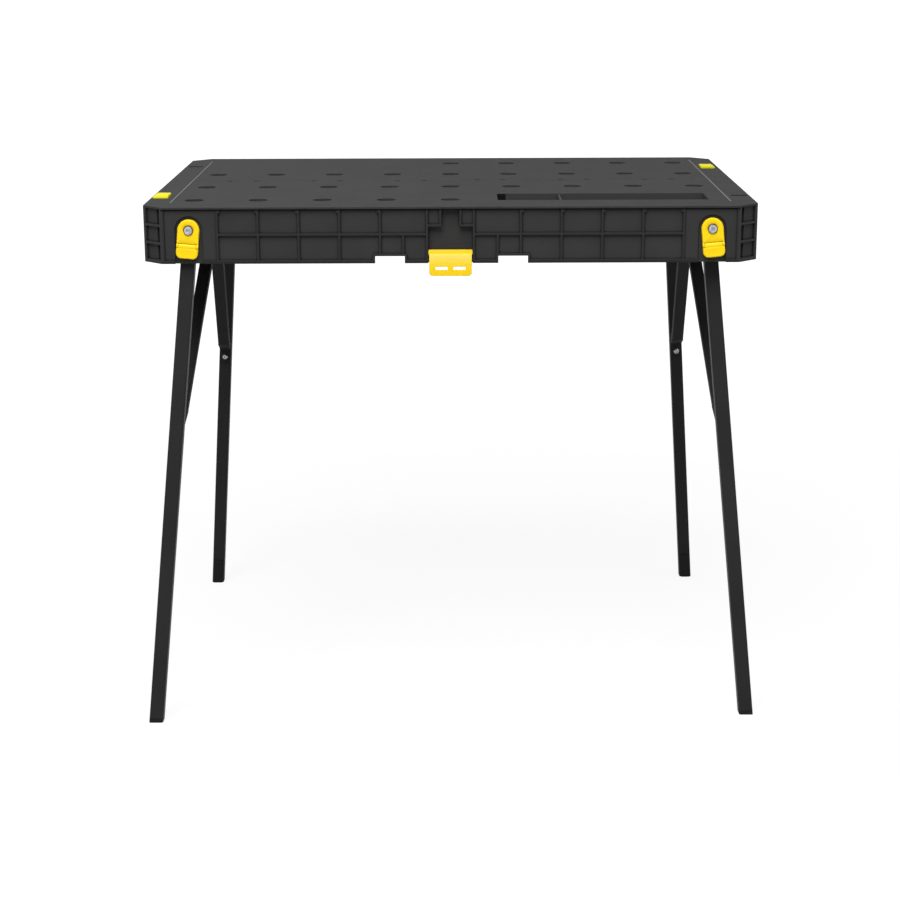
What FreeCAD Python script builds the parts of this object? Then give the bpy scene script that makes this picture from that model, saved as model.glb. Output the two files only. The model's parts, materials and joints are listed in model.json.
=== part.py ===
import FreeCAD, Part
import os
from math import atan, atan2, ceil, cos, degrees, hypot, pi, radians, sin, tan

Vec = FreeCAD.Vector

# Whole bench, all lengths in millimetres; x runs along the bench, the front is at -y
bench_length = 850.0
bench_depth = 600.0
bench_height = 739.0
deck_height = 78.0
seam_gap = 1.0
corner_cut_x = 28.0
corner_cut_y = 26.0

# Clearances shared by the fits
running_clearance = 0.05
easy_clearance = 0.3
overrun = 4.0

# Top panel of each half
panel_thickness = 2.6
lip_overhang = 1.2
hole_end_inset = 65.0
hole_radius = 13.5
hole_row_inset = 77.0
hole_collar_wall = 3.0
holes_each_side = 4
under_rib_depth = 14.0
under_rib_width = 2.5
under_rib_margin = 0.5
bead_inset = 35.0
bead_width = 2.4
bead_height = 0.7
bead_end_inset = 45.0

# Interlocking tongues along the seam
tongue_end_inset = 111.0
tongue_first = 60.0
tongue_width = 31.0
tongue_reach = 6.0
tongue_side_gap = 8.5
tongue_thickness = 2.2
tongue_count = 3

# Tray for small parts in the front half
tray_start = 66.5
tray_end_inset = 62.5
tray_front_inset = 68.0
tray_width = 70.0
tray_depth = 13.0
tray_wall = 2.0
tray_floor = 2.5
tray_slot_width = 12.5
tray_small_length = 87.5
tray_divider_width = 3.0
tray_divider_drop = 1.5

# Rim of each half: ribs outside, a thin skin behind them
cell_depth = 3.2
skin_thickness = 3.4
centre_wall = 3.0
rib_width = 3.0
bottom_rail = 4.6
front_rib_first = 96.9
front_rib_last_inset = 104.1
front_rib_steps = 4
front_mid_rib_depth = 38.0
short_rib_at = 65.0
gusset_width = 2.6
gusset_drop = 5.5
end_rib_columns = 4
end_row_count = 3
corner_cell_depth = 3.5
corner_cell_inset = 4.5
corner_slot_width = 9.0
corner_slot_depth = 10.0
corner_post_width = 2.0
lock_panel_depth = 2.0
lock_panel_edge = 3.2
notch_left = (-104.0, -63.0)
notch_right = (66.0, 107.0)
notch_height = 10.0

# Bay in the middle of the long wall, with the latch
bay_depth = 8.0
bay_half_width = 30.8
bay_neck_half_width = 12.3
bay_neck_depth = 27.4
latch_width = 58.8
latch_side_gap = 0.4
latch_pin_radius = 1.5
latch_barrel_radius = 4.0
latch_pin_depth = 63.6
latch_height = 36.0
latch_thickness = 3.4
latch_bulge = 3.2
latch_tip_offset = 1.6
latch_corner = 5.0
latch_slot_width = 17.0
latch_slot_height = 5.0
latch_slot_rise = 10.5
latch_slot_offset = 12.4
catch_side_gap = 1.0
catch_thickness = 3.2
catch_reach = 9.5

# Seam hinge along the lower edges of the two centre walls
knuckle_radius = 6.0
knuckle_length = 19.0
knuckle_gap = 0.5
knuckle_relief = 0.7
knuckle_web = 12.0
hinge_pin_radius = 2.5

# Legs: square tube with a riveted brace
leg_size = 20.0
leg_corner = 3.0
leg_wall = 1.2
leg_pivot_inset = 64.8
leg_pivot_depth = 31.7
outer_leg_inset = 28.0
inner_leg_inset = 52.0
leg_lean_deg = 4.8
front_foot_reach = 2.5
rear_foot_reach = -14.0
leg_top_stub = 8.0
cap_thickness = 2.0
plug_length = 12.0
brace_size = 18.0
brace_wall = 1.2
brace_corner = 2.5
brace_drop = 292.0
brace_tab_length = 36.0
brace_foot_rise = 13.5
brace_foot_drop = 9.5
brace_tab = 3.0
brace_taper = 30.0
brace_drain_radius = 2.5
rivet_radius = 2.5
rivet_head_radius = 4.7
rivet_head_height = 1.4
rivet_bulb_radius = 3.4
rivet_bulb_length = 5.0
rivet_dimple_radius = 2.0
rivet_dimple_depth = 1.0
sole_thickness = 6.0
foot_flap_height = 43.0
foot_flap_thickness = 1.8
foot_plug_length = 25.0

# Leg pivots
bolt_radius = 4.0
bolt_head_radius = 6.5
bolt_head_height = 3.2
bolt_head_edge = 1.1
bolt_head_gap = 0.7
bolt_socket_radius = 2.6
bolt_socket_depth = 1.8
spacer_radius = 5.5
nut_width = 13.0
nut_height = 6.5
bolt_tail = 2.0
brace_pin_radius = 4.0
brace_pin_head_radius = 6.5
brace_pin_head_height = 2.5
boss_radius = 9.0
boss_length = 5.5

# Yellow leg locks outside the long walls
lock_width = 30.0
lock_height = 54.1
lock_plate_thickness = 5.6
lock_tab_thickness = 6.6
lock_recess_margin = 4.4
lock_recess_depth = 4.5
lock_seat_clearance = 1.2
lock_pin_radius = 1.3
lock_pin_drop = 22.0
lock_barrel_radius = 3.2
lock_ear_width = 2.6
lock_gap = 0.3
lock_corner = 7.0
lock_nose_radius = 3.5
lock_nose_drop = 34.0
lock_nose_gap = 0.5
lock_slot_side = 0.9
lock_slot_travel = 2.4

# Pull-up bench stops near the ends
stop_width = 22.0
stop_length = 37.0
stop_rise = 3.5
front_stop_end_inset = 2.5
rear_stop_end_inset = 6.5
front_stop_inset = 118.0
rear_stop_inset = 140.0
stop_stem_width = 10.0
stop_stem_length = 27.0
stop_stem_depth = 34.0
stop_guide_wall = 2.5
stop_corner = 2.0
socket_width = 23.0
socket_length = 15.0
socket_depth = 8.0
socket_wall = 2.0
socket_inset = 111.0
socket_edge_inset = 3.5

half_length = bench_length / 2
half_depth = bench_depth / 2
half_gap = seam_gap / 2
hole_pitch = (half_length - hole_end_inset) / holes_each_side
tongue_pitch = (half_length - tongue_end_inset - tongue_first) / (tongue_count - 1)
tray_end = half_length - tray_end_inset
tray_divider_at = tray_start + tray_small_length
front_rib_pitch = (half_length - front_rib_last_inset - front_rib_first) / front_rib_steps
leg_pivot_x = half_length - leg_pivot_inset
outer_leg_y = half_depth - outer_leg_inset
inner_leg_y = half_depth - inner_leg_inset
socket_y = half_depth - socket_inset
wall_depth = cell_depth + skin_thickness
corner_wall = corner_slot_depth + skin_thickness
rim_face = half_depth - lip_overhang
cell_floor = rim_face - cell_depth
bay_floor = rim_face - bay_depth
cavity_face = rim_face - wall_depth
cavity_end = half_length - wall_depth
lean = radians(leg_lean_deg)


def level(depth):
    return bench_height - depth


def box(x0, x1, y0, y1, z0, z1):
    low = Vec(min(x0, x1), min(y0, y1), min(z0, z1))
    return Part.makeBox(abs(x1 - x0), abs(y1 - y0), abs(z1 - z0), low)


def rod(start, direction, radius, length):
    return Part.makeCylinder(radius, length, start, direction)


def prism(points, push):
    return Part.Face(Part.makePolygon(points + points[:1])).extrude(push)


def frame_at(origin, y_axis, z_axis):
    x_axis = y_axis.cross(z_axis)
    rows = []
    for name in "xyz":
        rows += [getattr(axis, name) for axis in (x_axis, y_axis, z_axis, origin)]
    return FreeCAD.Placement(FreeCAD.Matrix(*rows, 0, 0, 0, 1))


def placed(shape, placement):
    moved = shape.copy()
    moved.Placement = placement.multiply(moved.Placement)
    return moved


def round_edges(shape, radius, keep):
    edges = [edge for edge in shape.Edges if keep(edge)]
    return shape.makeFillet(radius, edges) if edges else shape


def runs_along(axis):
    def check(edge):
        if not isinstance(edge.Curve, (Part.Line, Part.LineSegment)):
            return False
        return abs(edge.tangentAt(edge.FirstParameter).dot(axis)) > 0.999
    return check


def one_solid(shape):
    return shape.removeSplitter().Solids[0]


def turned(shape):
    return placed(shape, FreeCAD.Placement(Vec(), FreeCAD.Rotation(Vec(0, 0, 1), 180)))


# Outline of one half deck, drawn for the front half
def deck_outline(face_inset, end_inset, cut_inset, seam_inset, depth):
    span = hypot(corner_cut_x, corner_cut_y)
    reach = corner_cut_y * (half_length - corner_cut_x) + corner_cut_x * half_depth
    reach -= cut_inset * span
    x_end = half_length - end_inset
    y_face = half_depth - face_inset
    cut_x = (reach - corner_cut_x * y_face) / corner_cut_y
    cut_y = (reach - corner_cut_y * x_end) / corner_cut_x
    z = level(depth)
    return [Vec(-x_end, -seam_inset, z), Vec(-x_end, -cut_y, z), Vec(-cut_x, -y_face, z),
            Vec(cut_x, -y_face, z), Vec(x_end, -cut_y, z), Vec(x_end, -seam_inset, z)]


def deck_slab(face_inset, end_inset, cut_inset, seam_inset, depth_low, depth_high):
    outline = deck_outline(face_inset, end_inset, cut_inset, seam_inset, depth_low)
    return prism(outline, Vec(0, 0, depth_low - depth_high))


def tongue_places():
    return [tongue_first + tongue_pitch * step for step in range(tongue_count)]


def hole_places(rear):
    columns = range(-holes_each_side, holes_each_side + 1)
    inner = [(hole_pitch * column, -hole_row_inset) for column in columns]
    outer = [(hole_pitch * column, hole_row_inset - half_depth) for column in columns if column <= 0]
    return inner + outer


# Top panel: plate, ribs and collars below, tongues along the seam
def top_panel(rear):
    plate = deck_slab(0, 0, 0, half_gap, panel_thickness, 0)
    rib_low = level(panel_thickness + under_rib_depth)
    rib_top = level(panel_thickness)
    ribs = []
    for step in range(holes_each_side):
        for side in (-1, 1):
            middle = side * hole_pitch * (step + 0.5)
            ribs.append(box(middle - under_rib_width / 2, middle + under_rib_width / 2,
                            -half_gap - centre_wall - under_rib_margin,
                            under_rib_margin - cavity_face, rib_low, rib_top))
    for share in cross_rib_shares:
        middle = -half_depth * share
        ribs.append(box(-hole_pitch * holes_each_side, hole_pitch * holes_each_side,
                        middle - under_rib_width / 2, middle + under_rib_width / 2, rib_low, rib_top))
    holes = []
    for x, y in hole_places(rear):
        ribs.append(rod(Vec(x, y, rib_low), Vec(0, 0, 1), hole_radius + hole_collar_wall, under_rib_depth))
        holes.append(rod(Vec(x, y, rib_low - overrun), Vec(0, 0, 1), hole_radius,
                         panel_thickness + under_rib_depth + 2 * overrun))
    for side in (-1, 1):
        middle = side * (half_length - bead_inset)
        ribs.append(box(middle - bead_width / 2, middle + bead_width / 2, -half_gap,
                        bead_end_inset - half_depth, level(0), level(-bead_height)))
    for x in tongue_places():
        ribs.append(box(x - tongue_width / 2, x + tongue_width / 2, -half_gap - tongue_reach,
                        tongue_reach, level(tongue_thickness), level(0)))
        holes.append(box(-x - tongue_width / 2 - tongue_side_gap, tongue_side_gap + tongue_width / 2 - x,
                         -tongue_reach - half_gap, overrun, level(panel_thickness + overrun), level(-overrun)))
    ribs.append(socket_cup())
    holes.append(stop_cut(rear))
    holes.append(socket_cut())
    if not rear:
        ribs.append(tray_pan())
        holes += tray_cuts()
    panel = plate.fuse(ribs).cut(holes)
    return one_solid(panel)


# The cross ribs lie between the rows of holes and near the seam
cross_rib_shares = (0.13, 0.5)


def tray_pan():
    front = tray_front_inset - half_depth
    return box(tray_start - tray_wall, tray_end + tray_wall, front - tray_wall,
               front + tray_width + tray_wall, level(tray_depth + tray_floor), level(0))


def tray_cuts():
    front = tray_front_inset - half_depth
    back = front + tray_width
    floor = level(tray_depth)
    above = level(-overrun)
    slot_end = tray_start + tray_slot_width
    divider_end = tray_divider_at + tray_divider_width
    below = level(panel_thickness + under_rib_depth + overrun)
    return [box(tray_start, slot_end, front, back, below, above),
            box(slot_end - overrun, tray_divider_at, front, back, floor, above),
            box(divider_end, tray_end, front, back, floor, above),
            box(tray_divider_at - overrun, divider_end + overrun, front, back,
                level(tray_divider_drop), above)]


def stop_middle(rear):
    end_inset = rear_stop_end_inset if rear else front_stop_end_inset
    inset = rear_stop_inset if rear else front_stop_inset
    return Vec(end_inset + stop_width / 2 - half_length, inset - half_depth, 0)


def stop_cut(rear):
    middle = stop_middle(rear)
    wide = stop_width / 2 + easy_clearance
    long = stop_length / 2 + easy_clearance
    return box(middle.x - wide, middle.x + wide, middle.y - long, middle.y + long,
               level(panel_thickness), level(-overrun))


def stem_middle_x():
    return easy_clearance + stop_stem_width / 2 - cavity_end


def bench_stop(rear):
    middle = stop_middle(rear)
    pad = box(middle.x - stop_width / 2, middle.x + stop_width / 2, middle.y - stop_length / 2,
              middle.y + stop_length / 2, level(panel_thickness), level(-stop_rise))
    pad = round_edges(pad, stop_corner, runs_along(Vec(0, 0, 1)))
    stem_x = stem_middle_x()
    stem = box(stem_x - stop_stem_width / 2, stem_x + stop_stem_width / 2,
               middle.y - stop_stem_length / 2, middle.y + stop_stem_length / 2,
               level(panel_thickness + stop_stem_depth), level(0))
    return one_solid(pad.fuse(stem))


def stop_guide(rear):
    middle = stop_middle(rear)
    stem_x = stem_middle_x()
    across = stop_stem_width / 2 + easy_clearance
    along = stop_stem_length / 2 + easy_clearance
    low = level(panel_thickness + stop_stem_depth)
    high = level(panel_thickness)
    outside = box(-cavity_end - skin_thickness, stem_x + across + stop_guide_wall,
                  middle.y - along - stop_guide_wall, middle.y + along + stop_guide_wall, low, high)
    inside = box(stem_x - across, stem_x + across, middle.y - along, middle.y + along,
                 low - overrun, high + overrun)
    return outside, inside


def socket_cut():
    right = half_length - socket_edge_inset
    return box(right - socket_width, right, -socket_y - socket_length / 2, socket_length / 2 - socket_y,
               level(socket_depth), level(-overrun))


def socket_cup():
    left = half_length - socket_edge_inset - socket_width - socket_wall
    along = socket_length / 2 + socket_wall
    return box(left, cavity_end - easy_clearance, -socket_y - along, along - socket_y,
               level(socket_depth + socket_wall), level(panel_thickness))


def socket_back():
    along = socket_length / 2 + socket_wall
    return box(cavity_end, half_length, -socket_y - along, along - socket_y,
               level(socket_depth + socket_wall), level(panel_thickness))


# Rim: outer walls with pockets between the ribs, centre wall, bosses and hinge knuckles
def row_bands(count):
    last = deck_height - bottom_rail
    pitch = (last - panel_thickness + rib_width) / count
    return [(panel_thickness + pitch * row, panel_thickness + pitch * (row + 1) - rib_width)
            for row in range(count)]


def gussets():
    blocks = []
    for step in range(front_rib_steps + 1):
        edge = front_rib_first + front_rib_pitch * step + rib_width / 2
        if step == front_rib_steps:
            edge -= rib_width + gusset_width
        for side in (-1, 1):
            blocks.append(box(side * edge, side * (edge + gusset_width), -rim_face, -cell_floor,
                              level(panel_thickness + gusset_drop), level(panel_thickness)))
    return blocks


def front_cells():
    last = deck_height - bottom_rail
    upper = (panel_thickness, front_mid_rib_depth - rib_width / 2)
    lower = (front_mid_rib_depth + rib_width / 2, last)
    inner_edge = bay_half_width + rib_width
    ribs = [front_rib_first + front_rib_pitch * step for step in range(front_rib_steps + 1)]
    spans = [(inner_edge, ribs[0] - rib_width / 2, upper)]
    spans.append((inner_edge, short_rib_at - rib_width / 2, lower))
    spans.append((short_rib_at + rib_width / 2, ribs[0] - rib_width / 2, lower))
    for left, right in zip(ribs, ribs[1:]):
        for band in (upper, lower):
            spans.append((left + rib_width / 2, right - rib_width / 2, band))
    cells = []
    for left, right, band in spans:
        for side in (-1, 1):
            cells.append(box(side * left, side * right, -rim_face - overrun, -cell_floor,
                             level(band[1]), level(band[0])))
    return cells


def bay_back():
    half = bay_half_width + rib_width
    return box(-half, half, -rim_face, skin_thickness - bay_floor, level(deck_height), level(panel_thickness))


def bay_cells():
    cells = [box(-bay_neck_half_width, bay_neck_half_width, -rim_face - overrun, -bay_floor,
                 level(bay_neck_depth + overrun), level(panel_thickness)),
             box(-bay_half_width, bay_half_width, -rim_face - overrun, -bay_floor,
                 level(deck_height + overrun), level(bay_neck_depth))]
    for side in (-1, 1):
        cells.append(box(side * (bay_neck_half_width + rib_width), side * bay_half_width,
                         -rim_face - overrun, -cell_floor,
                         level(bay_neck_depth - rib_width), level(panel_thickness)))
    return cells


def lock_panels():
    inner = front_rib_first + front_rib_pitch * front_rib_steps + rib_width / 2
    outer = half_length - corner_cut_x - lock_panel_edge
    return [box(side * inner, side * outer, -rim_face - overrun, lock_panel_depth - rim_face,
                level(deck_height - bottom_rail), level(panel_thickness)) for side in (-1, 1)]


def end_cells():
    cells = []
    corner = deck_outline(lip_overhang, 0, 0, half_gap, 0)[1]
    near = half_gap + centre_wall
    pitch = (-corner.y - near) / end_rib_columns
    for low, high in row_bands(end_row_count):
        for column in range(end_rib_columns):
            front = near + pitch * (column + 1) - rib_width
            back = near + pitch * column
            for side in (-1, 1):
                cells.append(box(side * (half_length + overrun), side * (half_length - cell_depth),
                                 -front, -back, level(high), level(low)))
        cells += corner_cells(low, high)
    return cells


def corner_cells(low, high):
    points = deck_outline(lip_overhang, 0, 0, half_gap, high)
    cells = []
    for end, face in ((points[1], points[2]), (points[4], points[3])):
        along = face.sub(end).normalize()
        inward = Vec(-along.y, along.x, 0) if end.x < 0 else Vec(along.y, -along.x, 0)
        near = end + along * corner_cell_inset - inward * overrun
        far = face - along * corner_post_width - inward * overrun
        step = far - along * corner_slot_width
        for start, depth in ((near, corner_cell_depth), (step, corner_slot_depth)):
            push = inward * (depth + overrun)
            cells.append(prism([start, far, far + push, start + push], Vec(0, 0, high - low)))
    return cells


def notch_frames():
    solids = []
    cuts = []
    for left, right in (notch_left, notch_right):
        solids.append(box(left - rib_width, right + rib_width, -rim_face, -cell_floor,
                          level(deck_height), level(deck_height - notch_height - rib_width)))
        cuts.append(box(left, right, -rim_face - overrun, overrun - cavity_face,
                        level(deck_height + overrun), level(deck_height - notch_height)))
    return solids, cuts


def hinge_level():
    return level(deck_height)


def knuckle_spans():
    places = tongue_places()
    middles = [-x for x in places] + places
    return [(middle - knuckle_gap / 2 - knuckle_length, middle + knuckle_gap / 2) for middle in middles]


def knuckles():
    solids, cuts = [], []
    along = Vec(1, 0, 0)
    for own, other in knuckle_spans():
        solids.append(rod(Vec(own, 0, hinge_level()), along, knuckle_radius, knuckle_length))
        solids.append(box(own, own + knuckle_length, -knuckle_radius, 0,
                          hinge_level(), hinge_level() + knuckle_web))
        relief = knuckle_radius + knuckle_relief
        cuts.append(rod(Vec(other - knuckle_gap, 0, hinge_level()), along, relief,
                        knuckle_length + 2 * knuckle_gap))
    return solids, cuts


def knuckle_bores(radius):
    along = Vec(1, 0, 0)
    return [rod(Vec(own - overrun, 0, hinge_level()), along, radius, knuckle_length + 2 * overrun)
            for own, other in knuckle_spans()]


def hinge_pins():
    length = 2 * knuckle_length + knuckle_gap
    pins = [rod(Vec(own, 0, hinge_level()), Vec(1, 0, 0), hinge_pin_radius, length)
            for own, other in knuckle_spans()]
    return Part.makeCompound(pins)


# One leg's own frame: y runs inward along the fold axis, z up along the leg, 0 at the pivot
def leg_side(side_x, side_y):
    outer = side_x == side_y
    return outer_leg_y if outer else inner_leg_y


def pivot_point(side_x, side_y):
    y = leg_side(side_x, side_y)
    drop = leg_pivot_depth + (rim_face - y) * tan(lean)
    return Vec(side_x * leg_pivot_x, side_y * y, level(drop))


def leg_splay(side_x, side_y):
    reach = front_foot_reach if side_y < 0 else rear_foot_reach
    return atan((leg_pivot_inset + reach) * cos(lean) / pivot_point(side_x, side_y).z)


def fold_axis(side_y):
    return Vec(0, -side_y * cos(lean), -sin(lean))


def leg_up(side_x, side_y):
    splay = leg_splay(side_x, side_y)
    plumb = Vec(0, side_y * sin(lean), -cos(lean))
    return (Vec(side_x * sin(splay), 0, 0) + plumb * cos(splay)) * -1


def leg_frame(side_x, side_y):
    return frame_at(pivot_point(side_x, side_y), fold_axis(side_y), leg_up(side_x, side_y))


def leg_length(side_x, side_y):
    return pivot_point(side_x, side_y).z / leg_up(side_x, side_y).z


def square_bar(size, corner, low, high):
    bar = box(-size / 2, size / 2, -size / 2, size / 2, low, high)
    return round_edges(bar, corner, runs_along(Vec(0, 0, 1))) if corner > 0 else bar


def inner_size():
    return leg_size - 2 * leg_wall


def inner_corner():
    return leg_corner - leg_wall


def leg_tube(side_x, side_y):
    end = sole_thickness - leg_length(side_x, side_y)
    tube = square_bar(leg_size, leg_corner, end, leg_top_stub)
    inward = Vec(0, 1, 0)
    cuts = [square_bar(inner_size(), inner_corner(), end - overrun, leg_top_stub + overrun),
            rod(Vec(0, -leg_size, 0), inward, bolt_radius + running_clearance, 2 * leg_size),
            rod(Vec(0, 0, -brace_drop), inward, rivet_radius, leg_size)]
    return placed(one_solid(tube.cut(cuts)), leg_frame(side_x, side_y))


def top_cap(side_x, side_y):
    lid = square_bar(leg_size, leg_corner, leg_top_stub, leg_top_stub + cap_thickness)
    low = leg_top_stub - plug_length
    inside = inner_size() - 2 * leg_wall
    plug = square_bar(inner_size(), inner_corner(), low, leg_top_stub)
    hollow = box(-inside / 2, inside / 2, -inside / 2, inside / 2, low - overrun, leg_top_stub)
    bolt_hole = rod(Vec(0, -leg_size, 0), Vec(0, 1, 0), bolt_radius + easy_clearance, 2 * leg_size)
    return placed(one_solid(lid.fuse(plug).cut([hollow, bolt_hole])), leg_frame(side_x, side_y))


def foot(side_x, side_y):
    length = leg_length(side_x, side_y)
    sole = square_bar(leg_size, leg_corner, -length - overrun, sole_thickness - length)
    plug = square_bar(inner_size(), inner_corner(), sole_thickness - length,
                      foot_plug_length + sole_thickness - length)
    half = leg_size / 2
    flap = box(leg_corner - half, half - leg_corner, half, half + foot_flap_thickness,
               -length - overrun, foot_flap_height - length)
    join = box(leg_corner - half, half - leg_corner, half - leg_corner, half,
               -length - overrun, sole_thickness - length)
    shape = placed(sole.fuse([plug, flap, join]), leg_frame(side_x, side_y))
    below = box(-bench_length, bench_length, -bench_depth, bench_depth, 0, -bench_height)
    return one_solid(shape.cut(below))


def apex_reach(side_x, side_y):
    boss_face = half_gap + centre_wall + boss_length
    return (leg_side(side_x, side_y) - boss_face) / cos(lean)


def flat_wire(z, y_low, y_high):
    half = brace_size / 2
    corners = [Vec(-half, y_low, z), Vec(half, y_low, z), Vec(half, y_high, z), Vec(-half, y_high, z)]
    return Part.makePolygon(corners + corners[:1])


def tilted_wire(centre, along, size):
    across = Vec(0, -along.z, along.y)
    wide = Vec(size / 2, 0, 0)
    tall = across * (size / 2)
    corners = [centre - wide - tall, centre + wide - tall, centre + wide + tall, centre - wide + tall]
    return Part.makePolygon(corners + corners[:1])


def brace(side_x, side_y):
    near = leg_size / 2
    far = apex_reach(side_x, side_y)
    low_end = brace_foot_rise - brace_drop
    high_end = -brace_tab_length / 2
    low_start = Vec(0, near + brace_tab / 2, low_end)
    high_start = Vec(0, far - brace_tab / 2, high_end)
    rough = high_start.sub(low_start).normalize()
    low_mid = Vec(0, near + brace_size / 2, low_end) + rough * brace_taper
    high_mid = Vec(0, far - brace_size / 2, high_end) - rough * brace_taper
    along = high_mid.sub(low_mid).normalize()
    low_wire = tilted_wire(low_mid, along, brace_size)
    high_wire = tilted_wire(high_mid, along, brace_size)
    span = high_mid.sub(low_mid)
    tube = Part.Face(low_wire).extrude(span)
    tube = round_edges(tube, brace_corner, runs_along(along))
    bore = Part.Face(tilted_wire(low_mid + along * brace_wall, along, brace_size - 2 * brace_wall))
    hollow = bore.extrude(span - along * (2 * brace_wall))
    outward = leg_frame(side_x, side_y).Rotation.inverted().multVec(Vec(side_x, 0, 0))
    drain = rod(high_mid - along * brace_size, Vec(outward.x, 0, 0).normalize(), brace_drain_radius, brace_size)
    tube = tube.cut([hollow, drain])
    low_taper = Part.makeLoft([flat_wire(low_end, near, near + brace_tab), low_wire], True, True)
    high_taper = Part.makeLoft([flat_wire(high_end, far - brace_tab, far), high_wire], True, True)
    half = brace_size / 2
    low_tab = box(-half, half, near, near + brace_tab, -brace_drop - brace_foot_drop, low_end)
    high_tab = box(-half, half, far - brace_tab, far, high_end, half)
    body = low_tab.fuse([low_taper, tube, high_taper, high_tab])
    rivet_hole = rod(Vec(0, near - overrun, -brace_drop), Vec(0, 1, 0), rivet_radius, brace_tab + 2 * overrun)
    pin_hole = rod(Vec(0, far - brace_tab - overrun, 0), Vec(0, 1, 0),
                   brace_pin_radius + running_clearance, brace_tab + 2 * overrun)
    return placed(one_solid(body.cut([rivet_hole, pin_hole])), leg_frame(side_x, side_y))


def rivet(side_x, side_y):
    wall = leg_size / 2 - leg_wall
    face = leg_size / 2 + brace_tab
    inward = Vec(0, 1, 0)
    bulb = rod(Vec(0, wall - rivet_bulb_length, -brace_drop), inward, rivet_bulb_radius, rivet_bulb_length)
    shank = rod(Vec(0, wall, -brace_drop), inward, rivet_radius, face - wall)
    head = Part.makeCone(rivet_head_radius, rivet_head_radius - rivet_head_height, rivet_head_height,
                         Vec(0, face, -brace_drop), inward)
    dimple = rod(Vec(0, face + rivet_head_height - rivet_dimple_depth, -brace_drop), inward,
                 rivet_dimple_radius, rivet_head_height)
    return placed(one_solid(shank.fuse([bulb, head]).cut(dimple)), leg_frame(side_x, side_y))


# Pivot hardware, in the leg's own frame
def outward_reach(side_x, side_y, face):
    return (face - leg_side(side_x, side_y)) / cos(lean)


def seat_face():
    return rim_face - lock_recess_depth + lock_plate_thickness - lock_seat_clearance


def pivot_bolt(side_x, side_y):
    seat = -outward_reach(side_x, side_y, seat_face())
    end = leg_size / 2 + easy_clearance + nut_height + bolt_tail
    inward = Vec(0, 1, 0)
    shank = rod(Vec(0, seat, 0), inward, bolt_radius, end - seat)
    rim = seat - bolt_head_height + bolt_head_edge
    head = rod(Vec(0, rim, 0), inward, bolt_head_radius, seat - rim)
    edge = Part.makeCone(bolt_head_radius, bolt_head_radius - bolt_head_edge, bolt_head_edge,
                         Vec(0, rim, 0), inward * -1)
    corners = [Vec(bolt_socket_radius * cos(pi * step / 3), seat - bolt_head_height,
                   bolt_socket_radius * sin(pi * step / 3)) for step in range(6)]
    socket = prism(corners, Vec(0, bolt_socket_depth, 0))
    return placed(one_solid(shank.fuse([head, edge]).cut(socket)), leg_frame(side_x, side_y))


def leg_spacer(side_x, side_y):
    start = -outward_reach(side_x, side_y, rim_face)
    end = -leg_size / 2 - easy_clearance
    ring = rod(Vec(0, start, 0), Vec(0, 1, 0), spacer_radius, end - start)
    ring = ring.cut(rod(Vec(0, start - overrun, 0), Vec(0, 1, 0), bolt_radius, end - start + 2 * overrun))
    ring = placed(ring, leg_frame(side_x, side_y))
    outside = box(-bench_length, bench_length, side_y * cavity_face, side_y * bench_depth, 0, bench_height)
    return one_solid(ring.cut(outside))


def pivot_nut(side_x, side_y):
    start = leg_size / 2 + easy_clearance
    radius = nut_width / 2 / cos(pi / 6)
    corners = [Vec(radius * cos(pi * step / 3), start, radius * sin(pi * step / 3)) for step in range(6)]
    nut = prism(corners, Vec(0, nut_height, 0))
    nut = nut.cut(rod(Vec(0, start - overrun, 0), Vec(0, 1, 0), bolt_radius, nut_height + 2 * overrun))
    return placed(one_solid(nut), leg_frame(side_x, side_y))


def brace_pin(side_x, side_y):
    far = apex_reach(side_x, side_y)
    head_low = far - brace_tab - easy_clearance
    end = far + boss_length
    inward = Vec(0, 1, 0)
    shank = rod(Vec(0, head_low, 0), inward, brace_pin_radius, end - head_low)
    head = rod(Vec(0, head_low - brace_pin_head_height, 0), inward, brace_pin_head_radius, brace_pin_head_height)
    return placed(one_solid(shank.fuse(head)), leg_frame(side_x, side_y))


def brace_boss(side_x, side_y):
    far = apex_reach(side_x, side_y) + easy_clearance
    reach = boss_length + centre_wall + boss_radius
    boss = rod(Vec(0, far, 0), Vec(0, 1, 0), boss_radius, reach)
    boss = placed(boss, leg_frame(side_x, side_y))
    beyond = box(-bench_length, bench_length, side_y * (half_gap + centre_wall / 2), -side_y * bench_depth,
                 0, bench_height)
    bore = rod(Vec(0, far - overrun, 0), Vec(0, 1, 0), brace_pin_radius, boss_length - easy_clearance + overrun)
    return boss.cut(beyond), placed(bore, leg_frame(side_x, side_y))


# Leg lock: fixed plate under the bolt head and a hinged tab below it
def lock_frame(side_x, side_y):
    splay = leg_splay(side_x, side_y)
    origin = Vec(side_x * leg_pivot_x, side_y * (rim_face - lock_recess_depth), level(leg_pivot_depth))
    return frame_at(origin, Vec(0, side_y, 0), Vec(-side_x * sin(splay), 0, cos(splay)))


def lock_pin_out():
    return lock_barrel_radius + lock_gap


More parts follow.
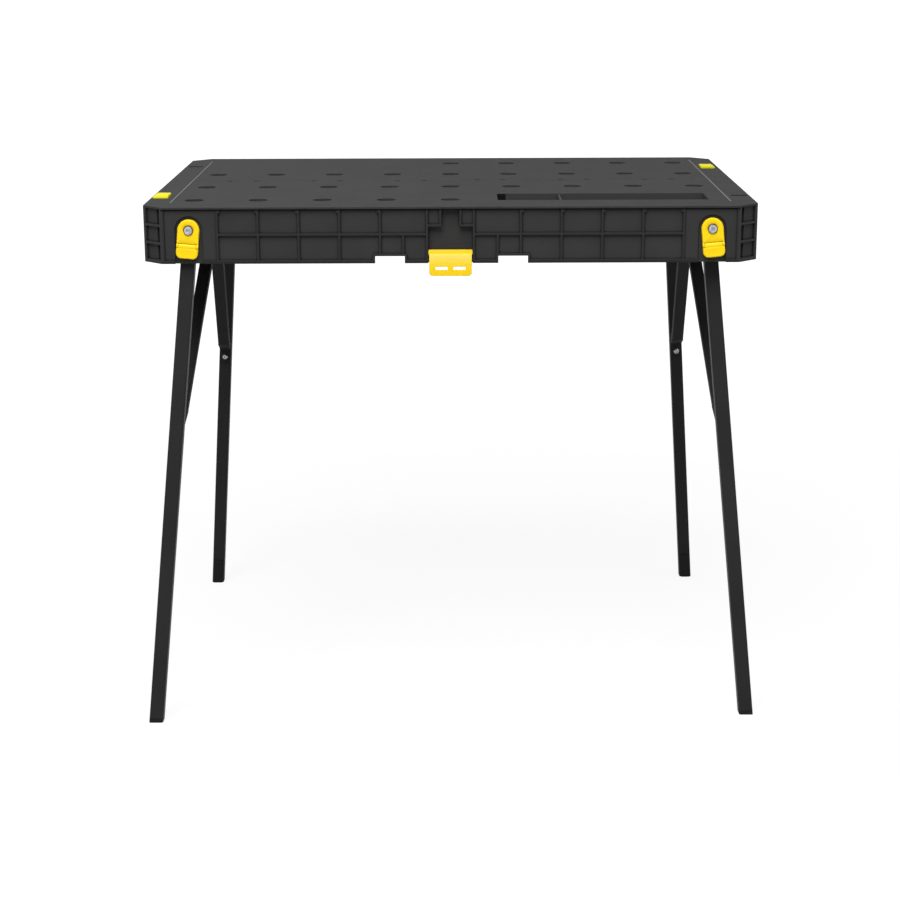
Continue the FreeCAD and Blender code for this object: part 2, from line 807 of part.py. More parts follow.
def lock_plate(side_x, side_y):
    half = lock_width / 2
    low = lock_gap + lock_barrel_radius - lock_pin_drop
    arch = rod(Vec(0, 0, 0), Vec(0, 1, 0), half, lock_plate_thickness)
    pieces = [box(-half, half, 0, lock_plate_thickness, low, 0)]
    for start in (-half, half - lock_ear_width):
        pieces.append(rod(Vec(start, lock_pin_out(), -lock_pin_drop), Vec(1, 0, 0),
                          lock_barrel_radius, lock_ear_width))
        pieces.append(box(start, start + lock_ear_width, lock_gap, lock_plate_thickness, -lock_pin_drop, low))
    shape = arch.fuse(pieces)
    pin = rod(Vec(-half - overrun, lock_pin_out(), -lock_pin_drop), Vec(1, 0, 0),
              lock_pin_radius, lock_width + 2 * overrun)
    shape = placed(shape.cut(pin), lock_frame(side_x, side_y))
    seat = outward_reach(side_x, side_y, seat_face())
    room = rod(Vec(0, -seat, 0), Vec(0, -1, 0), bolt_head_radius + bolt_head_gap, lock_plate_thickness)
    hole = rod(Vec(0, overrun - seat, 0), Vec(0, -1, 0), bolt_radius, 2 * lock_plate_thickness)
    through = rod(Vec(0, -seat + 2 * lock_plate_thickness, 0), Vec(0, -1, 0), bolt_radius,
                  4 * lock_plate_thickness)
    tools = [placed(tool, leg_frame(side_x, side_y)) for tool in (room, hole, through)]
    return one_solid(shape.cut(tools))


def lock_tab(side_x, side_y):
    half = lock_width / 2
    neck = half - lock_ear_width - lock_gap
    wide_top = -lock_pin_drop - lock_barrel_radius - lock_gap
    bottom = half - lock_height
    axis = Vec(1, 0, 0)
    pad = box(-half, half, lock_gap, lock_tab_thickness, bottom, wide_top)
    pad = round_edges(pad, lock_corner, lambda edge: runs_along(Vec(0, 1, 0))(edge)
                      and edge.CenterOfMass.z < (bottom + wide_top) / 2)
    barrel = rod(Vec(-neck, lock_pin_out(), -lock_pin_drop), axis, lock_barrel_radius, 2 * neck)
    link = box(-neck, neck, lock_gap, lock_tab_thickness, wide_top - lock_gap, -lock_pin_drop)
    nose_end = nose_reach(side_x, side_y)
    nose = rod(Vec(0, lock_pin_out(), -lock_nose_drop), Vec(0, -1, 0), lock_nose_radius,
               nose_end + lock_pin_out())
    bore = rod(Vec(-lock_width, lock_pin_out(), -lock_pin_drop), axis,
               lock_pin_radius + running_clearance, 2 * lock_width)
    tab = pad.fuse([barrel, link, nose]).cut(bore)
    return placed(one_solid(tab), lock_frame(side_x, side_y))


def nose_reach(side_x, side_y):
    drop = (lock_nose_drop + lock_nose_radius) * cos(leg_splay(side_x, side_y))
    below = drop - (level(leg_pivot_depth) - pivot_point(side_x, side_y).z)
    leg_face = leg_side(side_x, side_y) + below * tan(lean) + leg_size / 2 / cos(lean)
    return rim_face - lock_recess_depth - leg_face - lock_nose_gap


def lock_pin(side_x, side_y):
    pin = rod(Vec(-lock_width / 2, lock_pin_out(), -lock_pin_drop), Vec(1, 0, 0),
              lock_pin_radius, lock_width)
    return placed(pin, lock_frame(side_x, side_y))


def lock_cuts(side_x, side_y):
    half = lock_width / 2 + lock_recess_margin
    x = side_x * leg_pivot_x
    floor = side_y * (rim_face - lock_recess_depth)
    open_face = side_y * (rim_face + overrun)
    arch = rod(Vec(x, min(floor, open_face), level(leg_pivot_depth)), Vec(0, 1, 0), half,
               abs(open_face - floor))
    slot = box(x - half, x + half, floor, open_face, level(deck_height + overrun), level(leg_pivot_depth))
    splay = leg_splay(side_x, side_y)
    nose_x = x + side_x * lock_nose_drop * sin(splay)
    nose_z = level(leg_pivot_depth) - lock_nose_drop * cos(splay)
    wide = lock_nose_radius + lock_slot_side
    window = box(nose_x - wide, nose_x + wide, side_y * (cavity_face - overrun), open_face,
                 nose_z - wide - lock_slot_travel, nose_z + wide)
    hole = rod(Vec(0, 0, 0), fold_axis(side_y) * -1, bolt_radius + running_clearance, half_depth)
    hole.Placement = FreeCAD.Placement(pivot_point(side_x, side_y), FreeCAD.Rotation())
    return [arch, slot, window, hole]


# Rim of the front half; the rear rim is the same form turned round
def rim(side_y):
    outside = deck_slab(lip_overhang, 0, 0, half_gap, deck_height, panel_thickness)
    hollow = deck_slab(lip_overhang + wall_depth, wall_depth, corner_wall, half_gap + centre_wall,
                       deck_height + overrun, panel_thickness - overrun)
    socket = socket_cut()
    body = outside.cut(hollow).fuse([bay_back(), socket_back()])
    body = body.cut(front_cells() + bay_cells() + end_cells() + lock_panels())
    body = body.fuse(socket_back())
    guide, guide_bore = stop_guide(side_y > 0)
    notch_solids, notch_cuts = notch_frames()
    knuckle_solids, knuckle_cuts = knuckles()
    body = body.fuse([guide] + gussets() + notch_solids).cut(notch_cuts + knuckle_cuts)
    body = body.fuse(knuckle_solids)
    pin_bore = hinge_pin_radius if side_y < 0 else hinge_pin_radius + running_clearance
    body = body.cut([guide_bore, socket] + knuckle_bores(pin_bore))
    if side_y > 0:
        body = turned(body).fuse(catches())
    bosses, bores = [], []
    for side_x in (-1, 1):
        boss, bore = brace_boss(side_x, side_y)
        bosses.append(boss)
        bores.append(bore)
        bores += lock_cuts(side_x, side_y)
    if side_y < 0:
        bores.append(latch_pin(0))
    return one_solid(body.fuse(bosses).cut(bores))


# Latch: yellow flap on the front wall that hooks over two catches on the rear wall
def latch_axis_y():
    return -bay_floor - latch_barrel_radius - easy_clearance


def latch_pin(grow):
    half = bay_half_width + rib_width
    return rod(Vec(-half, latch_axis_y(), level(latch_pin_depth)), Vec(1, 0, 0),
               latch_pin_radius + grow, 2 * half)


def latch():
    axis_y = latch_axis_y()
    top = level(latch_pin_depth - latch_barrel_radius)
    bottom = top - latch_height
    out = axis_y - latch_barrel_radius
    face = out - latch_bulge
    tip = face + latch_tip_offset
    elbow = level(latch_pin_depth) - latch_barrel_radius
    profile = [Vec(0, axis_y, top), Vec(0, out, top - latch_thickness / 2), Vec(0, face, elbow),
               Vec(0, face, elbow - latch_height / 3), Vec(0, tip, bottom),
               Vec(0, tip + latch_thickness, bottom),
               Vec(0, face + latch_thickness, elbow - latch_height / 3),
               Vec(0, face + latch_thickness, elbow), Vec(0, axis_y, level(latch_pin_depth))]
    flap = prism([point - Vec(latch_width / 2, 0, 0) for point in profile], Vec(latch_width, 0, 0))
    barrel_half = bay_half_width - latch_side_gap
    barrel = rod(Vec(-barrel_half, axis_y, level(latch_pin_depth)), Vec(1, 0, 0),
                 latch_barrel_radius, 2 * barrel_half)
    cuts = [latch_pin(running_clearance)]
    for side in (-1, 1):
        middle = side * latch_slot_offset
        cuts.append(box(middle - latch_slot_width / 2, middle + latch_slot_width / 2,
                        face - overrun, tip + latch_thickness + overrun,
                        bottom + latch_slot_rise - latch_slot_height / 2,
                        bottom + latch_slot_rise + latch_slot_height / 2))
        corner = side * latch_width / 2
        cuts.append(prism([Vec(corner, face - overrun, bottom),
                           Vec(corner - side * latch_corner, face - overrun, bottom),
                           Vec(corner, face - overrun, bottom + latch_corner)],
                          Vec(0, latch_bulge + latch_thickness + 2 * overrun, 0)))
    return one_solid(flap.fuse(barrel).cut(cuts))


def catches():
    slot_drop = latch_pin_depth - latch_barrel_radius + latch_height - latch_slot_rise
    middle_z = level(2 * deck_height - slot_drop)
    wide = latch_slot_width / 2 - catch_side_gap
    return [box(side * latch_slot_offset - wide, side * latch_slot_offset + wide, bay_floor,
                bay_floor + catch_reach, middle_z - catch_thickness / 2, middle_z + catch_thickness / 2)
            for side in (-1, 1)]


def both(make, side_y):
    return Part.makeCompound([make(side_x, side_y) for side_x in (-1, 1)])


def main():
    os.makedirs("parts", exist_ok=True)
    nodes = {"front_top": top_panel(False), "rear_top": turned(top_panel(True))}
    nodes["hinge_pins"] = hinge_pins()
    nodes["latch"] = latch()
    nodes["latch_pin"] = latch_pin(0)
    nodes["front_stop"] = bench_stop(False)
    nodes["rear_stop"] = turned(bench_stop(True))
    for half, side_y in (("front", -1), ("rear", 1)):
        nodes[half + "_rim"] = rim(side_y)
        nodes[half + "_pivot_bolts"] = both(pivot_bolt, side_y)
        nodes[half + "_leg_spacers"] = both(leg_spacer, side_y)
        nodes[half + "_pivot_nuts"] = both(pivot_nut, side_y)
        nodes[half + "_brace_pins"] = both(brace_pin, side_y)
        nodes[half + "_lock_plates"] = both(lock_plate, side_y)
        nodes[half + "_lock_pins"] = both(lock_pin, side_y)
        for hand, side_x in (("left", -1), ("right", 1)):
            corner = half + "_" + hand
            nodes[corner + "_leg_tube"] = leg_tube(side_x, side_y)
            nodes[corner + "_leg_cap"] = top_cap(side_x, side_y)
            nodes[corner + "_foot"] = foot(side_x, side_y)
            nodes[corner + "_brace"] = brace(side_x, side_y)
            nodes[corner + "_rivet"] = rivet(side_x, side_y)
            nodes[corner + "_lock_tab"] = lock_tab(side_x, side_y)
    for name, shape in nodes.items():
        solids = shape.Solids
        print(name, len(solids), round(shape.Volume), all(solid.isValid() for solid in solids))
        shape.exportStep("parts/" + name + ".step")


if __name__ == "__main__":
    main()
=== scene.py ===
import json
import math

import bpy
import bmesh
from mathutils import Matrix, Vector


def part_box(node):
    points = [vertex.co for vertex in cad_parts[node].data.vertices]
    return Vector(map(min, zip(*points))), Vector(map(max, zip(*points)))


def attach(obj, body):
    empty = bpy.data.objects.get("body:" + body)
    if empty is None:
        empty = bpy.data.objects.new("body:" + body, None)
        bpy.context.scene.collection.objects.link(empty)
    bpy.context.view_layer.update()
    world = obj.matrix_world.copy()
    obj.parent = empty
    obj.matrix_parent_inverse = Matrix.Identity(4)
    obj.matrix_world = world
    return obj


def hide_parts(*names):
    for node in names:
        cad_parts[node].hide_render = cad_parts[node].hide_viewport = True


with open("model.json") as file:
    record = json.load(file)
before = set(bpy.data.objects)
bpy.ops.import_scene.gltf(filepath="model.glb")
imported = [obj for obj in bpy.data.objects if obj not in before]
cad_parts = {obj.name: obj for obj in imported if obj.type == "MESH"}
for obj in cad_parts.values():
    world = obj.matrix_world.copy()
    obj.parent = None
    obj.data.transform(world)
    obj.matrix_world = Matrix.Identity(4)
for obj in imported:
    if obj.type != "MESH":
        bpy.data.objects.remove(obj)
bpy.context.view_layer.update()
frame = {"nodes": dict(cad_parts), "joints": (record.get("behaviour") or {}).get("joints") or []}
nodes = frame["nodes"]
joints = {joint["child"]: joint for joint in frame["joints"]}
mm = 0.001


# shared helpers
def addObject(name, data):
    obj = bpy.data.objects.new(name, data)
    bpy.context.scene.collection.objects.link(obj)
    return obj


def smoothMesh(name, bm):
    mesh = bpy.data.meshes.new(name)
    bm.to_mesh(mesh)
    bm.free()
    for poly in mesh.polygons:
        poly.use_smooth = True
    return mesh


def quarterTurn(steps):
    # cosine and sine at even steps from 0 to 90 degrees
    angles = [math.pi / 2 * i / steps for i in range(steps + 1)]
    return [(math.cos(a), math.sin(a)) for a in angles]


def circle(count):
    angles = [2 * math.pi * i / count for i in range(count)]
    return [(math.cos(a), math.sin(a)) for a in angles]


def spread(low, high, count):
    # even steps from low towards high, without high itself
    return [low + (high - low) * i / count for i in range(count)]


# camera and room
camera = {
    "lens": 79.4,                # mm
    "sensor": 36.0,              # mm across
    "place": (4.8, -3012.7, 1105.65),
    "tiltDown": 14.682,          # degrees, as are roll and turn
    "roll": -0.22,
    "turn": 0.137,
    "near": 0.1,                 # m
    "far": 60.0,
}


def makeCamera(values):
    data = bpy.data.cameras.new("benchCamera")
    data.lens = values["lens"]
    data.sensor_width = values["sensor"]
    data.sensor_fit = "HORIZONTAL"
    data.clip_start = values["near"]
    data.clip_end = values["far"]
    obj = addObject("benchCamera", data)
    turn = Matrix.Rotation(math.radians(values["turn"]), 4, "Z")
    tilt = Matrix.Rotation(math.radians(90 - values["tiltDown"]), 4, "X")
    roll = Matrix.Rotation(math.radians(values["roll"]), 4, "Z")
    obj.matrix_world = Matrix.Translation(Vector(values["place"]) * mm) @ turn @ tilt @ roll
    bpy.context.scene.camera = obj


makeCamera(camera)
print("camera placed")

room = {
    "floorReach": 9.0,           # m each way from the bench
    "wallHeight": 7.0,
    "bend": 1.6,                 # radius between floor and wall
    "bendSteps": 16,
    "floorTone": 0.5,            # how much light the floor gives back
    "white": 1.125,              # how bright the camera sees the floor
    "shadowShare": 0.2,          # how much of the floor's own shading it sees near the bench
    "shadowNear": 1.2,           # m from the bench's middle where that starts to fade
    "shadowEnd": 2.8,
}


def cyclorama(values):
    reach, high, bend = values["floorReach"], values["wallHeight"], values["bend"]
    profile = [(-reach, 0.0), (reach - bend, 0.0)]
    profile += [(reach - bend + bend * s, bend - bend * c) for c, s in quarterTurn(values["bendSteps"])[1:]]
    profile.append((reach, high))
    bm = bmesh.new()
    left, right = ([bm.verts.new((side, y, z)) for y, z in profile] for side in (-reach, reach))
    for i in range(len(profile) - 1):
        bm.faces.new((left[i], right[i], right[i + 1], left[i + 1]))
    return addObject("studioFloor", smoothMesh("studioFloor", bm))


def newMaterial(name):
    mat = bpy.data.materials.new(name)
    mat.use_nodes = True
    mat.node_tree.nodes.clear()
    return mat, mat.node_tree.nodes, mat.node_tree.links


def mathNode(n, l, operation, first, second=None, clamp=False):
    node = n.new("ShaderNodeMath")
    node.operation = operation
    node.use_clamp = clamp
    for socket, value in zip(node.inputs, (first, second)):
        if isinstance(value, (int, float)):
            socket.default_value = value
        elif value is not None:
            l.new(value, socket)
    return node.outputs[0]


def mapped(n, l, value, fromLow, fromHigh, toLow, toHigh):
    node = n.new("ShaderNodeMapRange")
    ends = {"From Min": fromLow, "From Max": fromHigh, "To Min": toLow, "To Max": toHigh}
    for socket, number in ends.items():
        node.inputs[socket].default_value = number
    l.new(value, node.inputs["Value"])
    return node.outputs["Result"]


def floorMaterial(values):
    # white to the camera and in reflections, but for a share of the floor's shading near the bench
    mat, n, l = newMaterial("paleFloor")
    out = n.new("ShaderNodeOutputMaterial")
    plain = n.new("ShaderNodeBsdfDiffuse")
    plain.inputs["Color"].default_value = (values["floorTone"],) * 3 + (1,)
    white = n.new("ShaderNodeEmission")
    white.inputs["Color"].default_value = (1, 1, 1, 1)
    white.inputs["Strength"].default_value = values["white"]
    path = n.new("ShaderNodeLightPath")
    seen = mathNode(n, l, "ADD", path.outputs["Is Camera Ray"], path.outputs["Is Glossy Ray"], clamp=True)
    seen = mathNode(n, l, "ADD", seen, path.outputs["Is Transmission Ray"], clamp=True)
    away = n.new("ShaderNodeVectorMath")
    away.operation = "LENGTH"
    l.new(n.new("ShaderNodeNewGeometry").outputs["Position"], away.inputs[0])
    shown = mapped(n, l, away.outputs["Value"], values["shadowNear"], values["shadowEnd"],
                   1 - values["shadowShare"], 1.0)
    mix = n.new("ShaderNodeMixShader")
    l.new(mathNode(n, l, "MULTIPLY", seen, shown), mix.inputs["Fac"])
    l.new(plain.outputs[0], mix.inputs[1])
    l.new(white.outputs[0], mix.inputs[2])
    l.new(mix.outputs[0], out.inputs["Surface"])
    return mat


floor = cyclorama(room)
floor.data.materials.append(floorMaterial(room))

lights = {
    "key": {"place": (-0.7, -2.6, 4.4), "aim": (0.0, 0.0, 0.6), "size": 3.0, "power": 262.0},
    "side": {"place": (3.2, -1.2, 3.0), "aim": (0.0, 0.0, 0.7), "size": 2.2, "power": 34.0},
    "back": {"place": (-1.6, 3.2, 3.0), "aim": (0.0, 0.0, 0.6), "size": 2.2, "power": 14.0},
    "world": 0.34,
    "sky": 1.0,                  # how bright the camera sees the world past the floor
}


def areaLight(name, values):
    data = bpy.data.lights.new(name, "AREA")
    data.shape = "SQUARE"
    data.size = values["size"]
    data.energy = values["power"]
    obj = addObject(name, data)
    obj.location = Vector(values["place"])
    obj.rotation_euler = (Vector(values["aim"]) - obj.location).to_track_quat("-Z", "Y").to_euler()


def paleSky(values):
    world = bpy.data.worlds.new("studioWorld")
    bpy.context.scene.world = world
    world.use_nodes = True
    n, l = world.node_tree.nodes, world.node_tree.links
    sky = n["Background"]
    sky.inputs["Color"].default_value = (1, 1, 1, 1)
    seen = n.new("ShaderNodeLightPath").outputs["Is Camera Ray"]
    more = mathNode(n, l, "MULTIPLY", seen, values["sky"] - values["world"])
    l.new(mathNode(n, l, "ADD", more, values["world"]), sky.inputs["Strength"])


for name in ("key", "side", "back"):
    areaLight(name + "Light", lights[name])
paleSky(lights)
bpy.context.scene.view_settings.view_transform = "Standard"
print("room and lights set")


# finishes
shading = {
    "blendFrom": 0.35,           # span of the noise over which the low tone turns into the high one
    "blendTo": 0.65,
    "edgeFull": 0.8,             # agreement of rounded and flat normals on an edge, and just off it
    "edgeNone": 0.99,
    "edgeSamples": 4,
    "edgeHighlightGain": 2.2,           # how much paler the painted highlight on an edge is
    "cornerShadeFull": 0.45,            # openness where the painted corner shade is full, and where there is none
    "cornerShadeNone": 0.86,
    "cornerShadeSamples": 6,
    "cornerShadeGain": 0.12,            # how dark the painted corner shade is
    "roughSwing": 0.05,
    "flankFull": 0.7,            # how squarely a steel face looks along y on its flank, and on its end
    "flankNone": 0.93,
}


def linear(value):
    c = value / 255
    return c / 12.92 if c <= 0.04045 else ((c + 0.055) / 1.055) ** 2.4


def tone(r, g, b):
    return (linear(r), linear(g), linear(b), 1.0)


def grey(value):
    return tone(value, value, value)


def scaled(colour, gain):
    return tuple(min(1.0, c * gain) for c in colour[:3]) + (1.0,)


def noise(n, l, coords, scale, detail, roughness):
    tex = n.new("ShaderNodeTexNoise")
    tex.inputs["Scale"].default_value = scale
    tex.inputs["Detail"].default_value = detail
    tex.inputs["Roughness"].default_value = roughness
    l.new(coords, tex.inputs["Vector"])
    return tex.outputs["Fac"]


def blendTones(n, l, fac, look):
    ramp = n.new("ShaderNodeValToRGB")
    start, end = ramp.color_ramp.elements
    start.position, end.position = shading["blendFrom"], shading["blendTo"]
    start.color, end.color = look["low"], look["high"]
    l.new(fac, ramp.inputs["Fac"])
    return ramp.outputs["Color"]


def paintOver(n, l, colour, mask, over):
    mix = n.new("ShaderNodeMix")
    mix.data_type = "RGBA"
    factor, under, top = mix.inputs[0], mix.inputs[6], mix.inputs[7]  # the colour sockets of a mix
    top.default_value = over
    l.new(mask, factor)
    l.new(colour, under)
    return mix.outputs[2]


def zoneMask(n, l, place, mark):
    # 1 inside a mark's box and 0 outside; on a mirrored axis it holds on both sides of the middle
    parts = n.new("ShaderNodeSeparateXYZ")
    l.new(place, parts.inputs[0])
    mask = None
    for axis in "xyz":
        if axis in mark:
            low, high = mark[axis]
            value = parts.outputs[axis.upper()]
            if axis in mark["mirrored"]:
                value = mathNode(n, l, "ABSOLUTE", value)
            inside = mathNode(n, l, "COMPARE", value, (low + high) / 2 * mm)
            inside.node.inputs[2].default_value = (high - low) / 2 * mm
            mask = inside if mask is None else mathNode(n, l, "MULTIPLY", mask, inside)
    return mask


def skinMaterial(name):
    mat, n, l = newMaterial(name)
    skin = n.new("ShaderNodeBsdfPrincipled")
    out = n.new("ShaderNodeOutputMaterial")
    l.new(skin.outputs["BSDF"], out.inputs["Surface"])
    return mat, n, l, skin


def edgeNormal(n, l, skin, look, height):
    # rounds the edges in the shading and lays the grain over them; returns how near an edge is
    bevel = n.new("ShaderNodeBevel")
    bevel.samples = shading["edgeSamples"]
    bevel.inputs["Radius"].default_value = look["edge"] * mm
    bump = n.new("ShaderNodeBump")
    bump.inputs["Strength"].default_value = look["grainStrength"]
    bump.inputs["Distance"].default_value = look["grainDepth"] * mm
    l.new(height, bump.inputs["Height"])
    l.new(bevel.outputs["Normal"], bump.inputs["Normal"])
    l.new(bump.outputs["Normal"], skin.inputs["Normal"])
    flat = n.new("ShaderNodeNewGeometry")
    dot = n.new("ShaderNodeVectorMath")
    dot.operation = "DOT_PRODUCT"
    l.new(bevel.outputs["Normal"], dot.inputs[0])
    l.new(flat.outputs["True Normal"], dot.inputs[1])
    return mapped(n, l, dot.outputs["Value"], shading["edgeFull"], shading["edgeNone"], 1.0, 0.0)


def moulded(name, look, marks=()):
    # moulded plastic: fine spark-eroded grain, soft mottling, paler edges as a painted highlight, painted shade
    # darkening the corners
    mat, n, l, skin = skinMaterial(name)
    place = n.new("ShaderNodeTexCoord").outputs["Object"]
    mottle = noise(n, l, place, look["mottle"], detail=3.0, roughness=0.6)
    fine = noise(n, l, place, look["grain"], detail=2.0, roughness=0.5)
    colour = blendTones(n, l, mottle, look)
    # painted highlight: the edges are painted paler
    edgeHighlight = mathNode(n, l, "MULTIPLY", edgeNormal(n, l, skin, look, fine), look["paintedHighlight"])
    colour = paintOver(n, l, colour, edgeHighlight, scaled(look["high"], shading["edgeHighlightGain"]))
    if "sheen" in look:
        sheen = look["sheen"]
        parts = n.new("ShaderNodeSeparateXYZ")
        l.new(place, parts.inputs[0])
        rise = mapped(n, l, parts.outputs["Z"], sheen["from"] * mm, sheen["to"] * mm, 0.0, 1.0)
        colour = paintOver(n, l, colour, rise, sheen["tone"])
    for mark in marks:
        colour = paintOver(n, l, colour, zoneMask(n, l, place, mark), mark["tone"])
    # painted shade: the colour darkens where the surface is hemmed in, in corners and recesses
    if "corners" in look:
        shade = n.new("ShaderNodeAmbientOcclusion")
        shade.samples = shading["cornerShadeSamples"]
        shade.only_local = True
        shade.inputs["Distance"].default_value = look["cornerReach"] * mm
        cornerShade = mapped(n, l, shade.outputs["AO"], shading["cornerShadeFull"], shading["cornerShadeNone"], look["corners"], 0.0)
        colour = paintOver(n, l, colour, cornerShade, scaled(look["low"], shading["cornerShadeGain"]))
    l.new(colour, skin.inputs["Base Color"])
    rough, swing = look["roughness"], shading["roughSwing"]
    l.new(mapped(n, l, mottle, 0.0, 1.0, rough - swing, rough + swing), skin.inputs["Roughness"])
    skin.inputs["Specular IOR Level"].default_value = look["specular"]
    return mat


def powderCoat(name, look):
    # baked powder coat: slight orange peel over a satin sheen, paler on the edges as a painted highlight
    mat, n, l, skin = skinMaterial(name)
    place = n.new("ShaderNodeTexCoord").outputs["Object"]
    cloud = noise(n, l, place, look["cloud"], detail=2.0, roughness=0.5)
    peel = noise(n, l, place, look["grain"], detail=1.0, roughness=0.4)
    # painted highlight: the edges are painted paler
    edgeHighlight = mathNode(n, l, "MULTIPLY", edgeNormal(n, l, skin, look, peel), look["paintedHighlight"])
    l.new(paintOver(n, l, blendTones(n, l, cloud, look), edgeHighlight, look["highlightTone"]), skin.inputs["Base Color"])
    skin.inputs["Roughness"].default_value = look["roughness"]
    skin.inputs["Specular IOR Level"].default_value = look["specular"]
    return mat


def platedSteel(name, look):
    # plated steel: cloudy plating on the ends, painted shade darkening the flanks
    mat, n, l, skin = skinMaterial(name)
    coords = n.new("ShaderNodeTexCoord")
    cloud = noise(n, l, coords.outputs["Object"], look["cloud"], detail=3.0, roughness=0.6)
    parts = n.new("ShaderNodeSeparateXYZ")
    l.new(coords.outputs["Normal"], parts.inputs[0])
    facing = mathNode(n, l, "ABSOLUTE", parts.outputs["Y"])
    flank = mapped(n, l, facing, shading["flankFull"], shading["flankNone"], look["flank"], 0.0)
    l.new(paintOver(n, l, blendTones(n, l, cloud, look), flank, look["flankShade"]), skin.inputs["Base Color"])
    edgeNormal(n, l, skin, look, cloud)
    skin.inputs["Metallic"].default_value = look["metal"]
    skin.inputs["Roughness"].default_value = look["roughness"]
    return mat


# looks: tones as they are seen, edge, depth and reach in mm, grain and clouds per metre
# the edge share, and the legs' paler edge tone, paint a highlight along the edges
plasticLook = {"mottle": 14.0, "grain": 1200.0, "grainDepth": 0.06, "grainStrength": 0.35, "paintedHighlight": 0.0}
deckLook = {**plasticLook, "low": grey(47), "high": grey(54), "roughness": 0.72, "specular": 0.12,
            "mottle": 18.0, "grain": 1600.0, "grainDepth": 0.16, "edge": 0.7, "paintedHighlight": 0.25}
# the rim's corner share paints shade into its corners and recesses
rimLook = {**plasticLook, "low": grey(46), "high": grey(50), "roughness": 0.68, "specular": 0.16,
           "grain": 1400.0, "grainDepth": 0.12, "edge": 0.6, "paintedHighlight": 0.2, "corners": 0.9, "cornerReach": 3.2}
yellowLook = {**plasticLook, "low": tone(246, 207, 6), "high": tone(248, 211, 10),
              "roughness": 0.46, "specular": 0.24, "edge": 1.0}
lemonLook = {**plasticLook, "low": tone(205, 198, 12), "high": tone(213, 206, 18),
             "roughness": 0.5, "specular": 0.12, "edge": 0.8}
blackLook = {**plasticLook, "low": grey(20), "high": grey(25), "roughness": 0.6, "specular": 0.15,
             "grainDepth": 0.1, "edge": 0.6, "paintedHighlight": 0.2}
legLook = {"low": grey(38), "high": grey(42), "roughness": 0.5, "specular": 0.08, "edge": 0.5, "paintedHighlight": 0.12,
           "highlightTone": grey(64), "cloud": 9.0, "grain": 900.0, "grainDepth": 0.12, "grainStrength": 0.25}
braceLook = {**legLook, "roughness": 0.72, "specular": 0.06, "highlightTone": grey(60)}
# the flank share and its tone paint shade on steel faces that don't look along y
zincLook = {"low": tone(186, 188, 194), "high": tone(214, 215, 218), "roughness": 0.46, "metal": 0.8,
            "edge": 0.3, "cloud": 260.0, "grainDepth": 0.08, "grainStrength": 0.15,
            "flank": 0.85, "flankShade": tone(30, 30, 32)}
rivetLook = {**zincLook, "low": tone(150, 151, 153), "high": tone(172, 173, 175), "roughness": 0.4,
             "metal": 1.0, "flank": 0.0}

# marks: boxes with a tone of their own, in mm from the bench's middle and up from the floor
deckTop = 739.0
deckMarks = [
    {"tone": grey(102), "mirrored": "xy",    # raised beads near the ends
     "x": (388.6, 391.4), "y": (0.0, 255.2), "z": (deckTop + 0.1, deckTop + 2)},
    {"tone": grey(74), "mirrored": "y",      # the seam's pale end
     "x": (372.0, 410.0), "y": (0.0, 1.6), "z": (deckTop - 1, deckTop + 1)},
    {"tone": grey(57), "mirrored": "",       # tray
     "x": (78.0, 363.0), "y": (-233.0, -161.0), "z": (deckTop - 14, deckTop - 0.2)},
    {"tone": grey(10), "mirrored": "",       # the tray's open slot, painted dark as the shade inside it
     "x": (66.0, 79.2), "y": (-233.0, -161.0), "z": (deckTop - 18, deckTop - 0.2)},
]
rimMarks = [
    {"tone": grey(41), "mirrored": "xy",     # outer faces of the ribs
     "x": (0.0, 396.0), "y": (298.3, 301.0)},
    {"tone": grey(16), "mirrored": "xy",     # shadow line under the lip
     "x": (0.0, 397.5), "y": (288.0, 301.0), "z": (deckTop - 5.2, deckTop - 2.4)},
    {"tone": grey(33), "mirrored": "xy",     # lowest rib, painted darker as shade
     "x": (0.0, 396.0), "y": (298.3, 301.0), "z": (deckTop - 78.3, deckTop - 74.6)},
]
latchLevel = joints["latch"]["pos_m"][2] / mm
latchLook = {**yellowLook, "low": tone(250, 210, 6), "high": tone(252, 215, 10),
             "sheen": {"from": latchLevel - 20, "to": latchLevel - 5, "tone": tone(218, 197, 83)}}
latchMarks = [
    {"tone": latchLook["high"], "mirrored": "", "z": (latchLevel - 2.0, latchLevel + 0.6)},    # groove
    {"tone": tone(212, 180, 8), "mirrored": "", "z": (latchLevel + 0.6, latchLevel + 6.0)},    # barrel, painted a deeper yellow as painted shade on its upward face
]

finishes = {
    "top": moulded("deckTopPlastic", deckLook, deckMarks),
    "rim": moulded("rimPlastic", rimLook, rimMarks),
    "yellow": moulded("yellowPlastic", yellowLook),
    "latch": moulded("latchPlastic", latchLook, latchMarks),
    "lemon": moulded("stopPlastic", lemonLook),
    "black": moulded("blackPlastic", blackLook),
    "leg": powderCoat("legPowderCoat", legLook),
    "brace": powderCoat("bracePowderCoat", braceLook),
    "steel": platedSteel("zincPlatedSteel", zincLook),
    "rivet": platedSteel("rivetSteel", rivetLook),
}
finishByEnding = {
    "_top": "top", "_rim": "rim", "_stop": "lemon", "latch": "latch", "_lock_plates": "yellow",
    "_lock_tab": "yellow", "_leg_tube": "leg", "_brace": "brace", "_rivet": "rivet",
    "_foot": "black", "_cap": "black", "_spacers": "black",
}


def finishOf(name):
    for ending, finish in finishByEnding.items():
        if name.endswith(ending):
            return finish
    return "steel"


for name, obj in nodes.items():
    obj.data.materials.clear()
    obj.data.materials.append(finishes[finishOf(name)])
print("finishes on", len(nodes), "nodes")


